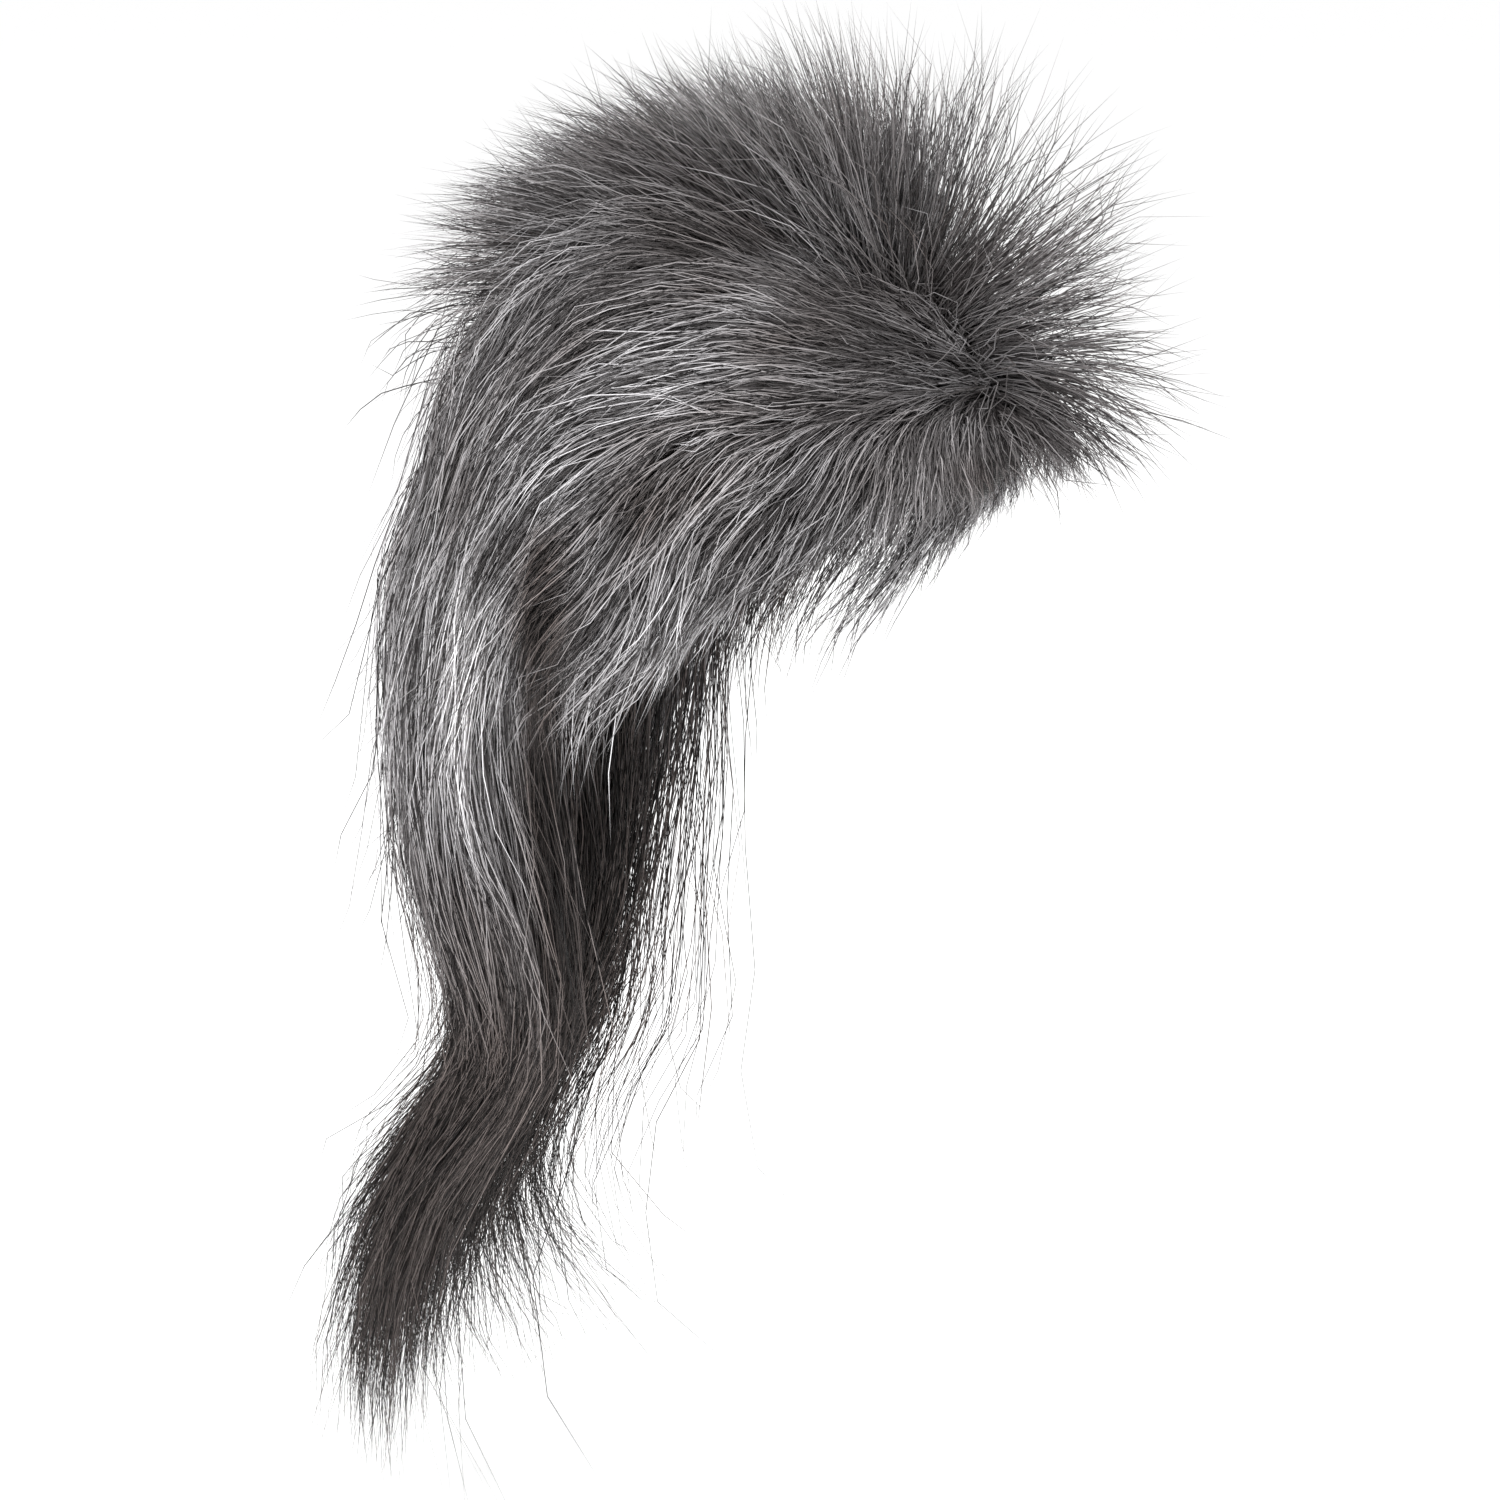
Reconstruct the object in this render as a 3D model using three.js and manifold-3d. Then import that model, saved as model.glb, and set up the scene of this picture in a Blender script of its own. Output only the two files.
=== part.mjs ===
// A grey mullet wig in the shape that it has on a head: a close-fitting stretch cap, a spiky crest
// along the top, a short fringe over the forehead, swept-back sides, the hair over the back of the
// crown, and the long tail that hangs down behind.
//
// Millimetres. +Z is up, the face looks along -Y, and the wearer's right is -X. The origin is the
// inside of the cap at the crown, where it rests on the top of the head.
//
// Each piece of hair is a backing that lies over the cap, with tapered locks fused to it. A lock
// follows the way the hair is combed: away from the middle of the front hairline, back over the
// head, and then down.
import * as THREE from "three";
import Module from "manifold-3d";

const wasm = await Module();
wasm.setup();

// The head that the cap fits, as half an ellipsoid above its widest level and half one below it
const headBreadth = 154;
const headLength = 196;
const crownHeight = 95;
const napeHeight = 120;

// The cap
const capDepth = 168;
const capWall = 1.6;
const hemWall = 2.8;
const hemWidth = 9;

// Gaps between pieces
const seatGap = 0.3;
const hairGap = 0.4;

// The hair's backing, and where one piece of hair ends and the next begins
const backingWall = 4;
const crestHalfWidth = 36;
const crestBack = 58;
const fringeHalfWidth = 46;
const fringeDrop = 46;
const sideBack = 34;
const tailRootDrop = 112;

// Hair lengths
const crestLength = 84;
const fringeLength = 48;
const sideLength = 122;
const backLength = 230;
const tailLength = 305;

// How thick the hair lies
const sideDepth = 15;
const backDepth = 25;
const tailDepth = 61;
const tailDrop = 420;

// The hair thins towards the two sides of the hanging part, by this share
const sideThinning = 0.75;

// Locks, as wide and as thick as their middles are
const crestLockWidth = 33;
const fringeLockWidth = 22;
const fringeLockDepth = 13;
const sideLockWidth = 32;
const sideLockDepth = 12;
const backLockWidth = 38;
const backLockDepth = 18;
const tailLockWidth = 34;
const tailLockDepth = 22;

// The cap's edge: the angle round from the middle of the face, and how far down from the crown it
// lies, as a share of the cap's depth.
const capEdge = [
  { round: 0, drop: 0.34 },
  { round: 36, drop: 0.38 },
  { round: 60, drop: 0.6 },
  { round: 72, drop: 0.63 },
  { round: 90, drop: 0.56 },
  { round: 110, drop: 0.64 },
  { round: 132, drop: 0.88 },
  { round: 180, drop: 1 },
];

// The crest from front to back: where a lock's root lies, as a share of half the head's length,
// which way the lock points in degrees up from straight ahead, its share of the crest's length, and
// how many locks there are across.
const crestRows = [
  { root: -0.87, points: 4, length: 0.98, locks: 3 },
  { root: -0.79, points: 22, length: 1.01, locks: 2 },
  { root: -0.69, points: 46, length: 1.04, locks: 3 },
  { root: -0.56, points: 68, length: 1.01, locks: 2 },
  { root: -0.43, points: 82, length: 0.94, locks: 3 },
  { root: -0.27, points: 107, length: 0.73, locks: 2 },
  { root: -0.07, points: 121, length: 0.69, locks: 3 },
  { root: 0.14, points: 134, length: 0.68, locks: 2 },
  { root: 0.35, points: 147, length: 0.67, locks: 3 },
  { root: 0.54, points: 158, length: 0.64, locks: 2 },
];

// Rows of lying locks: how far round the head the row runs, in degrees from the middle of the face,
// its angle down from the crown, each lock's share of its piece's length, and how far out in the
// hair's depth it lies where it settles and at its tip.
const sideRows = [
  { angle: 42, from: 40, to: 124, locks: 4, length: 0.84, layer: 0.8, tip: 0.8 },
  { angle: 61, from: 34, to: 116, locks: 4, length: 0.86, layer: 0.6, tip: 0.7 },
  { angle: 80, from: 42, to: 112, locks: 4, length: 0.83, layer: 0.4, tip: 0.6 },
];
const backRows = [
  { angle: 40, from: 140, to: 220, locks: 3, length: 0.95, layer: 0.84, tip: 0.9 },
  { angle: 58, from: 122, to: 238, locks: 4, length: 1.1, layer: 0.74, tip: 0.8 },
  { angle: 77, from: 118, to: 242, locks: 5, length: 1.3, layer: 0.72, tip: 0.95 },
];
const tailRows = [
  { angle: 99, from: 120, to: 240, locks: 5, length: 0.97, layer: 0.44, tip: 0.95 },
  { angle: 110, from: 138, to: 222, locks: 3, length: 1.02, layer: 0.16, tip: 0.5 },
];

// The fringe's rows: which way a lock points in degrees up from straight ahead, how many there are
// across the forehead, and each one's share of the fringe's length
const fringeRows = [
  { points: -22, locks: 4, length: 1.15 },
  { points: -52, locks: 5, length: 0.95 },
];

// The hang of the hair below the head's widest level, down to the tail's tip: how far down, how far
// from the axis its inner side is as a share of the head's outline, its thickness as a share of the
// tail's depth, and how far round from the middle of the back it reaches, in degrees.
const hang = [
  { down: 0, inner: 1, depth: 0.41, spread: 84 },
  { down: 0.1, inner: 0.93, depth: 0.7, spread: 78 },
  { down: 0.21, inner: 0.8, depth: 0.89, spread: 70 },
  { down: 0.32, inner: 0.7, depth: 1, spread: 63 },
  { down: 0.42, inner: 0.66, depth: 0.97, spread: 58 },
  { down: 0.53, inner: 0.68, depth: 0.76, spread: 48 },
  { down: 0.58, inner: 0.72, depth: 0.61, spread: 40 },
  { down: 0.66, inner: 0.82, depth: 0.54, spread: 28 },
  { down: 0.74, inner: 0.94, depth: 0.62, spread: 21 },
  { down: 0.8, inner: 1.02, depth: 0.65, spread: 18 },
  { down: 0.9, inner: 1.1, depth: 0.7, spread: 17 },
  { down: 1, inner: 1.14, depth: 0.66, spread: 20 },
];

// How a lock swells from its root and tapers to its tip, where it stands and where it hangs
const standingShape = [
  { along: 0, size: 0.75 },
  { along: 0.42, size: 1 },
  { along: 0.82, size: 0.5 },
];
const hangingShape = [
  { along: 0, size: 0.8 },
  { along: 0.25, size: 1 },
  { along: 0.58, size: 0.88 },
  { along: 0.86, size: 0.62 },
];

// How far a standing lock's tip drops under its own weight, as a share of its length
const crestSag = 0.1;
const fringeSag = 0.15;

// Where the locks of the fringe start, as a share of its width, and how much they splay
const fringeRoots = 0.9;
const fringeSplay = 0.7;

// A lying lock looks this far ahead, and rises or sinks no more steeply than this
const lookAhead = 25;
const steepest = 0.7;

// Where the locks of a row start in their even shares of it, which differs from row to row
const rowStarts = [0.4, 0.6];

// Where the hair passes the ear, comes to lie thicker behind it and comes to fall straight down, each
// as two angles round from the middle of the face between which the change is spread
const pastEar = { from: 92, to: 118 };
const thickens = { from: 85, to: 140 };
const fallsBehind = { from: 70, to: 160 };

// The hair also falls straight down low on the head, between these shares of the cap's depth, and is
// combed straight out from its whorl between these shares of half the head's breadth
const fallsBelow = { from: 0.25, to: 1.3 };
const leavesWhorl = { from: 0.7, to: 1.7 };

// How finely the surfaces are divided
const columns = 28;
const ringShares = [0.2, 0.42, 0.7];
const underRings = [0.35, 0.7];
const lockSides = 5;
const standingSteps = 5;
const lyingSteps = 16;
const tableStep = 0.01;

const halfBreadth = headBreadth / 2;
const halfLength = headLength / 2;
const centre = new THREE.Vector3(0, 0, -crownHeight);

// The middle of the front hairline, from which the hair is combed, and its way over the head from there
const whorl = new THREE.Vector3(0, -0.88 * halfLength, -0.48 * crownHeight);
const whorlToNape = new THREE.Vector3(0, 0.9, -0.43);

const degrees = THREE.MathUtils.degToRad;

// From 0 to 1 between the two ends of a change, given in the value's own units or in degrees
const spread = (value, { from, to }) => THREE.MathUtils.smoothstep(value, from, to);
const spreadRound = (angle, { from, to }) => spread(angle, { from: degrees(from), to: degrees(to) });

// The value of one column of a table, at a place along another column
function lookUp(table, along, place, column) {
  const next = table.findIndex((row) => row[along] >= place);
  if (next === 0) return table[0][column];
  if (next < 0) return table[table.length - 1][column];
  const [a, b] = [table[next - 1], table[next]];
  return THREE.MathUtils.mapLinear(place, a[along], b[along], a[column], b[column]);
}

// A point over the head: round from the middle of the face, down from the crown, and lifted off it
function headPoint(round, angle, lift) {
  const height = angle < Math.PI / 2 ? crownHeight : napeHeight;
  const p = new THREE.Vector3(
    halfBreadth * Math.sin(angle) * Math.sin(round),
    -halfLength * Math.sin(angle) * Math.cos(round),
    height * Math.cos(angle),
  );
  const normal = new THREE.Vector3(p.x / halfBreadth ** 2, p.y / halfLength ** 2, p.z / height ** 2);
  return p.add(centre).addScaledVector(normal.normalize(), lift);
}

// The angle down from the crown at which the head is a given height below the crown
function angleAtDrop(drop) {
  const rise = crownHeight - drop;
  return Math.acos(rise / (rise > 0 ? crownHeight : napeHeight));
}

function edgeAngle(round) {
  const turned = Math.abs(THREE.MathUtils.euclideanModulo(round + Math.PI, 2 * Math.PI) - Math.PI);
  return angleAtDrop(capDepth * lookUp(capEdge, "round", THREE.MathUtils.radToDeg(turned), "drop"));
}

// How far down the hanging hair a point is, from 0 at the head's widest level to 1 at the tail's tip
function downShare(p) {
  return (-crownHeight - p.z) / (tailDrop - crownHeight);
}

// The angle of a point round from straight behind the head, positive towards the wearer's left
function fromBehind(p) {
  return Math.atan2(p.x, p.y);
}

// The angle of a point round from the middle of the face, alike on both sides
function fromFront(p) {
  return Math.PI - Math.abs(fromBehind(p));
}

// How far out the hair's inner side lies at a point, as a share of the head's outline: the hair that
// hangs behind the ears draws in towards the neck.
function innerShare(p) {
  if (p.z > -crownHeight) return 1;
  const inner = lookUp(hang, "down", downShare(p), "inner");
  return THREE.MathUtils.lerp(1, inner, spreadRound(fromFront(p), pastEar));
}

// The surface that the hair lies on, through the head's skin above its widest level and the hang's
// inner side below it: a point's height over it, and the way straight out of it there
function overHead(p) {
  const inner = innerShare(p);
  const rise = Math.max(0, p.z + crownHeight) / crownHeight;
  const level = Math.hypot(p.x / halfBreadth / inner, p.y / halfLength / inner, rise);
  const gradient = new THREE.Vector3(
    p.x / (halfBreadth * inner) ** 2,
    p.y / (halfLength * inner) ** 2,
    rise / crownHeight,
  ).divideScalar(level);
  const slope = gradient.length();
  return { height: (level - 1) / slope, out: gradient.divideScalar(slope) };
}

// How thick the hair lies at a point
function hairDepth(p) {
  const lying = THREE.MathUtils.lerp(sideDepth, backDepth, spreadRound(fromFront(p), thickens));
  if (p.z > -crownHeight) return lying;
  const reach = degrees(lookUp(hang, "down", downShare(p), "spread"));
  const edge = Math.min(1, Math.abs(fromBehind(p)) / reach);
  const full = tailDepth * lookUp(hang, "down", downShare(p), "depth");
  const hanging = full * Math.sqrt(1 - sideThinning * edge * edge);
  return THREE.MathUtils.lerp(sideDepth, hanging, spreadRound(fromFront(p), pastEar));
}

// The way the hair is combed at a point: out from the middle of the front hairline, then back over
// the head, and more and more straight down towards the back and below the head's widest level
function combed(p, out) {
  const fromWhorl = p.clone().sub(whorl);
  const near = 1 - spread(fromWhorl.length() / halfBreadth, leavesWhorl);
  const behind = spreadRound(fromFront(p), fallsBehind);
  const weight = Math.max(behind, spread(-p.z / capDepth, fallsBelow));
  const fall = new THREE.Vector3(0, 0, -1);
  if (p.z < -crownHeight) {
    const here = lookUp(hang, "down", downShare(p), "spread");
    const lower = lookUp(hang, "down", downShare(p) + tableStep, "spread");
    const turn = (fromBehind(p) * (lower / here - 1)) / (tableStep * (tailDrop - crownHeight));
    fall.addScaledVector(new THREE.Vector3(p.y, -p.x, 0), behind * turn);
  }
  const way = whorlToNape.clone().lerp(fromWhorl.normalize(), near).lerp(fall, weight);
  return way.addScaledVector(out, -way.dot(out)).normalize();
}

// The middle line of a lock that lies on the head and then hangs. At each step it looks ahead, and
// rises or sinks towards its own layer of the hair.
function lyingPath(round, length, { angle, layer, tip }) {
  const p = headPoint(round, degrees(angle), hemWall + seatGap + backingWall / 2);
  const points = [p.clone()];
  for (let i = 0; i < lyingSteps; i++) {
    const { out } = overHead(p);
    const way = combed(p, out);
    const next = p.clone().addScaledVector(way, lookAhead);
    const target = THREE.MathUtils.lerp(layer, tip, i / lyingSteps) * hairDepth(next);
    const slope = (target - overHead(next).height) / lookAhead;
    const rise = THREE.MathUtils.clamp(slope, -steepest, steepest);
    way.multiplyScalar(Math.sqrt(1 - rise * rise)).addScaledVector(out, rise);
    p.addScaledVector(way, length / lyingSteps);
    points.push(p.clone());
  }
  return points;
}

// The middle line of a lock that stands straight out from its root, bent down by its weight
function standingPath(root, way, length, sag) {
  return Array.from({ length: standingSteps + 1 }, (_, i) => {
    const along = i / standingSteps;
    const p = root.clone().addScaledVector(way, length * along);
    p.z -= sag * length * along * along;
    return p;
  });
}

// The middle line of a lock of the crest, splayed outwards
function crestPath(x, row) {
  const y = row.root * halfLength * Math.sqrt(1 - (x / halfBreadth) ** 2);
  const round = Math.atan2(x / halfBreadth, -y / halfLength);
  const angle = Math.asin(Math.min(1, Math.hypot(x / halfBreadth, y / halfLength)));
  const root = headPoint(round, angle, hemWall + seatGap + backingWall / 2);
  const points = degrees(row.points);
  const way = new THREE.Vector3(x / crestLength, -Math.cos(points), Math.sin(points)).normalize();
  return standingPath(root, way, crestLength * row.length, crestSag);
}

// The middle line of a lock of the fringe, which starts at the hem and splays a little outwards
function fringePath(share, row) {
  const round = share * Math.asin((fringeRoots * fringeHalfWidth) / halfBreadth);
  const root = headPoint(round, edgeAngle(round) - hemWidth / halfLength, hemWall + backingWall);
  const points = degrees(row.points);
  const turned = fringeSplay * round;
  const way = new THREE.Vector3(Math.sin(turned), -Math.cos(turned), 0);
  way.multiplyScalar(Math.cos(points)).setZ(Math.sin(points));
  return standingPath(root, way, fringeLength * row.length, fringeSag);
}

// A closed surface through rings of points, with a single point before the first and after the last
function ringSolid(first, rings, last) {
  const count = rings[0].length;
  const points = [first, ...rings.flat(), last];
  const at = (ring, column) => 1 + ring * count + (column % count);
  const end = points.length - 1;
  const faces = [];
  for (let c = 0; c < count; c++) {
    faces.push([0, at(0, c), at(0, c + 1)]);
    for (let r = 0; r + 1 < rings.length; r++) {
      faces.push([at(r, c), at(r + 1, c), at(r + 1, c + 1)]);
      faces.push([at(r, c), at(r + 1, c + 1), at(r, c + 1)]);
    }
    faces.push([end, at(rings.length - 1, c + 1), at(rings.length - 1, c)]);
  }
  const vertProperties = new Float32Array(points.flatMap((p) => p.toArray()));
  const make = (triangles) =>
    new wasm.Manifold(
      new wasm.Mesh({ numProp: 3, vertProperties, triVerts: new Uint32Array(triangles.flat()) }),
    );
  const solid = make(faces);
  return solid.volume() > 0 ? solid : make(faces.map(([a, b, c]) => [a, c, b]));
}

// A tapered lock along a path, flattened against what it lies on
function lockSolid(path, { width, depth, shape }, grow) {
  const rings = shape.map(({ along, size }) => {
    const place = along * (path.length - 1);
    const before = path[Math.floor(place)];
    const after = path[Math.floor(place) + 1];
    const middle = before.clone().lerp(after, place % 1);
    const way = after.clone().sub(before).normalize();
    const across = new THREE.Vector3().crossVectors(way, overHead(middle).out).normalize();
    const up = new THREE.Vector3().crossVectors(across, way);
    return Array.from({ length: lockSides }, (_, i) => {
      const turn = (2 * Math.PI * (i + 0.5)) / lockSides;
      return middle
        .clone()
        .addScaledVector(across, Math.cos(turn) * ((size * width) / 2 + grow))
        .addScaledVector(up, Math.sin(turn) * ((size * depth) / 2 + grow));
    });
  });
  const tip = path.at(-1).clone();
  tip.addScaledVector(tip.clone().sub(path.at(-2)).normalize(), grow);
  return ringSolid(path[0], rings, tip);
}

// A ring of points over the head at a share of the way from the crown to the cap's edge less an inset
function ringOver(share, lift, inset) {
  return Array.from({ length: columns }, (_, c) => {
    const round = (2 * Math.PI * c) / columns;
    return headPoint(round, share * (edgeAngle(round) - inset / halfLength), lift);
  });
}

// The rings of a dome over the head, down to where the cap's hem starts
function domeRings(lift) {
  return [...ringShares, 1].map((share) => ringOver(share, lift, hemWidth));
}

// The cap: a thin shell with a thicker hem all round its edge
function capSolid() {
  const rings = [
    ...domeRings(capWall),
    ringOver(1, hemWall, hemWidth),
    ringOver(1, hemWall, 0),
    ringOver(1, 0, 0),
    ...domeRings(0).reverse(),
  ];
  return ringSolid(headPoint(0, 0, capWall), rings, headPoint(0, 0, 0));
}

// Everything that the hair must stay out of: the head, with the cap on it
function headSolid() {
  const lift = hemWall + seatGap;
  const under = underRings.map((share) =>
    Array.from({ length: columns }, (_, c) => {
      const round = (2 * Math.PI * c) / columns;
      return headPoint(round, THREE.MathUtils.lerp(edgeAngle(round), Math.PI, share), lift);
    }),
  );
  const rings = [...domeRings(lift), ringOver(1, lift, 0), ...under];
  return ringSolid(headPoint(0, 0, lift), rings, headPoint(0, Math.PI, lift));
}

// The part of the layer of hair roots over the cap that lies inside a box given by its sides. It is
// solid right through to the middle here, and the head is cut out of it later.
function backingIn({ left, right, front, back, bottom, top }, grow) {
  const lift = hemWall + seatGap + backingWall + grow;
  const rings = [...domeRings(lift), ringOver(1, lift, -grow)];
  const dome = ringSolid(headPoint(0, 0, lift), rings, centre);
  const size = [right - left, back - front, top - bottom].map((side) => side + 2 * grow);
  const box = new THREE.BoxGeometry(...size);
  box.translate((left + right) / 2, (front + back) / 2, (bottom + top) / 2);
  return dome.intersect(solidOf(box));
}

function solidOf(geometry) {
  const points = [];
  const where = new Map();
  const place = geometry.getAttribute("position");
  const triVerts = Array.from(geometry.index.array, (v) => {
    const p = [place.getX(v), place.getY(v), place.getZ(v)];
    const key = p.map((value) => value.toFixed(4)).join();
    if (!where.has(key)) where.set(key, points.push(p) - 1);
    return where.get(key);
  });
  return new wasm.Manifold(
    new wasm.Mesh({
      numProp: 3,
      vertProperties: new Float32Array(points.flat()),
      triVerts: new Uint32Array(triVerts),
    }),
  );
}

// A wide box, as something for a piece's own box to override
const everywhere = {
  left: -headBreadth,
  right: headBreadth,
  front: -headLength,
  back: headLength,
  bottom: -2 * capDepth,
  top: crownHeight,
};

function crest(grow) {
  const size = { width: crestLockWidth, depth: crestLockWidth, shape: standingShape };
  const locks = crestRows.flatMap((row) =>
    Array.from({ length: row.locks }, (_, i) => {
      const x = crestHalfWidth * ((2 * i + 1) / row.locks - 1);
      return lockSolid(crestPath(x, row), size, grow);
    }),
  );
  const box = {
    ...everywhere,
    left: -crestHalfWidth,
    right: crestHalfWidth,
    back: crestBack,
    bottom: -fringeDrop,
  };
  return [backingIn(box, grow), ...locks];
}

function fringe(grow) {
  const size = { width: fringeLockWidth, depth: fringeLockDepth, shape: standingShape };
  const locks = fringeRows.flatMap((row) =>
    Array.from({ length: row.locks }, (_, i) => {
      const share = (2 * i) / (row.locks - 1) - 1;
      return lockSolid(fringePath(share, row), size, grow);
    }),
  );
  const box = {
    ...everywhere,
    left: -fringeHalfWidth,
    right: fringeHalfWidth,
    back: 0,
    top: -fringeDrop,
  };
  return [backingIn(box, grow), ...locks];
}

// Rows of lying locks, on one side of the head or right across its back
function lyingRows(rows, side, length, size, grow) {
  return rows.flatMap((row, r) =>
    Array.from({ length: row.locks }, (_, i) => {
      const share = (i + rowStarts[r % rowStarts.length]) / row.locks;
      const round = side * degrees(THREE.MathUtils.lerp(row.from, row.to, share));
      return lockSolid(lyingPath(round, length * row.length, row), size, grow);
    }),
  );
}

function sideHair(side) {
  const size = { width: sideLockWidth, depth: sideLockDepth, shape: hangingShape };
  return (grow) => {
    const box = { ...everywhere, back: sideBack };
    if (side > 0) box.left = 0;
    else box.right = 0;
    return [backingIn(box, grow), ...lyingRows(sideRows, side, sideLength, size, grow)];
  };
}

function backHair(grow) {
  const size = { width: backLockWidth, depth: backLockDepth, shape: hangingShape };
  const box = { ...everywhere, front: 0, bottom: -tailRootDrop };
  return [backingIn(box, grow), ...lyingRows(backRows, 1, backLength, size, grow)];
}

function tail(grow) {
  const size = { width: tailLockWidth, depth: tailLockDepth, shape: hangingShape };
  const box = { ...everywhere, front: 0, top: -tailRootDrop };
  return [backingIn(box, grow), ...lyingRows(tailRows, 1, tailLength, size, grow)];
}

// The pieces of hair, each cut back to clear the ones before it, which lie over it
const hair = [
  { name: "crest_hair", build: crest, tone: 0x4a4848 },
  { name: "fringe_hair", build: fringe, tone: 0x565454 },
  { name: "side_hair_right", build: sideHair(-1), tone: 0x7c7a7a },
  { name: "side_hair_left", build: sideHair(1), tone: 0x7c7a7a },
  { name: "back_hair", build: backHair, tone: 0x6f6d6c },
  { name: "tail_hair", build: tail, tone: 0x585554 },
];

const join = (solids) => solids.reduce((all, next) => all.add(next));

function largest(solid) {
  return solid.decompose().sort((a, b) => b.volume() - a.volume())[0];
}

function meshOf(solid, name, tone) {
  const made = solid.getMesh();
  const geometry = new THREE.BufferGeometry();
  geometry.setAttribute("position", new THREE.BufferAttribute(made.vertProperties, 3));
  geometry.setIndex(new THREE.BufferAttribute(made.triVerts, 1));
  geometry.computeVertexNormals();
  const material = new THREE.MeshStandardMaterial({ color: tone, roughness: 0.6, metalness: 0 });
  const mesh = new THREE.Mesh(geometry, material);
  mesh.name = name;
  return mesh;
}

const wig = new THREE.Group();
wig.name = "mullet_wig";
wig.add(meshOf(capSolid(), "wig_cap", 0x262525));

let taken = headSolid();
for (const { name, build, tone } of hair) {
  const solid = largest(join(build(0)).subtract(taken));
  wig.add(meshOf(solid, name, tone));
  taken = taken.add(join(build(hairGap)));
}

export default wig;
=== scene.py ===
# %% [markdown]
# # A grey mullet wig, strand by strand
# The wig is a dark stretch cap with thousands of strands of salt-and-pepper fibre fixed to it. The
# strands stand up along the crest, sweep back over the ears and fall in a long tail. Hair could be
# made with Blender's hair curves, but a mesh of thin tubes keeps its shape in every program, so
# here each strand is a tapered three-sided tube whose middle line is worked out with numpy.
#
# First comes the imported model. It fixes where everything goes, and its box is kept to set the floor's
# level and the room that the tips may take.

# %% Load the imported model
import math
import bpy
import numpy as np
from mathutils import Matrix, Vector


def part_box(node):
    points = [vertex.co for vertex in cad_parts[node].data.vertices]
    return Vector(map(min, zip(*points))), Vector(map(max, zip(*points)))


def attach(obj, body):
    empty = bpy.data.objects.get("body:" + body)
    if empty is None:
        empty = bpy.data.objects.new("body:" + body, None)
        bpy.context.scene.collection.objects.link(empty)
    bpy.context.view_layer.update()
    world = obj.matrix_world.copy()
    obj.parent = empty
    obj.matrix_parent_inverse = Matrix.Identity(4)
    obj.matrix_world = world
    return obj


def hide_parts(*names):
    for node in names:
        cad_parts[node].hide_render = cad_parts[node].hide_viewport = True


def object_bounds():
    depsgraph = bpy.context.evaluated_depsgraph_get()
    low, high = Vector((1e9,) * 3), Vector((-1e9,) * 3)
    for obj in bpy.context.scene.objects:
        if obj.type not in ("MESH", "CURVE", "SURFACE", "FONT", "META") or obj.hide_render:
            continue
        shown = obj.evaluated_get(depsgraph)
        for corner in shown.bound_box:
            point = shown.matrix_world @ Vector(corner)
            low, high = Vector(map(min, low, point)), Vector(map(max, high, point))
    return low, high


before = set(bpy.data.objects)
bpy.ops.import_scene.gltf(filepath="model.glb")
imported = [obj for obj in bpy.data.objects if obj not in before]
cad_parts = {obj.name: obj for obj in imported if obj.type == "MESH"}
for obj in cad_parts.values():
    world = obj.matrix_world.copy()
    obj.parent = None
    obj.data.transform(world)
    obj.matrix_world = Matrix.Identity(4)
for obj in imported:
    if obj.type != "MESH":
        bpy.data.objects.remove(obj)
cad_low, cad_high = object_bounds()
print("nodes:", ", ".join(sorted(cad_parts)))

# %% [markdown]
# ## The camera
# The wig is seen from its right front corner and a little above. A long lens from two metres away
# keeps the near and far sides at nearly the same scale. The camera could be aimed by a constraint,
# but its place is simply worked out here: it looks at the middle of the picture, which lies some way
# below the crown.

# %% Camera
AZIMUTH = math.radians(-59)
ELEVATION = math.radians(14)
LENS = 160
PICTURE_WIDTH = 0.5
MIDDLE_RIGHT_OF_CROWN = -0.0047
MIDDLE_BELOW_CROWN = 0.175

right = np.array([math.cos(AZIMUTH), math.sin(AZIMUTH), 0])
back = np.array([
    math.sin(AZIMUTH) * math.cos(ELEVATION),
    -math.cos(AZIMUTH) * math.cos(ELEVATION),
    math.sin(ELEVATION),
])
up = np.cross(back, right)
camera_data = bpy.data.cameras.new("camera")
camera_data.lens = LENS
camera = bpy.data.objects.new("camera", camera_data)
bpy.context.scene.collection.objects.link(camera)
distance = PICTURE_WIDTH * LENS / camera_data.sensor_width
target = right * MIDDLE_RIGHT_OF_CROWN - up * MIDDLE_BELOW_CROWN
camera.location = target + back * distance
camera.rotation_euler = (math.pi / 2 - ELEVATION, 0, AZIMUTH)
bpy.context.scene.camera = camera
print(f"camera {distance:.2f} m away")

# %% [markdown]
# ## Floor and light
# A studio shot for a shop shows the wig on plain white. A pale floor that runs far back gives that
# and takes a soft shadow. Light comes from a white sky all round, which alone would be flat, so a
# large soft lamp at the upper left of the camera adds the sheen along the strands, and a weaker one
# behind them lights the loose tips. The Standard view transform keeps white as white.

# %% Floor
FLOOR_SIZE = 60
FLOOR_BELOW_TIPS = 0.03
FLOOR_COLOUR = (0.93, 0.93, 0.93)


def mesh_object(name, points, faces):
    """A new object made from a list of points and a list of faces."""
    mesh = bpy.data.meshes.new(name)
    mesh.from_pydata([tuple(p) for p in points], [], [tuple(f) for f in faces])
    made = bpy.data.objects.new(name, mesh)
    bpy.context.scene.collection.objects.link(made)
    return made


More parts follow.
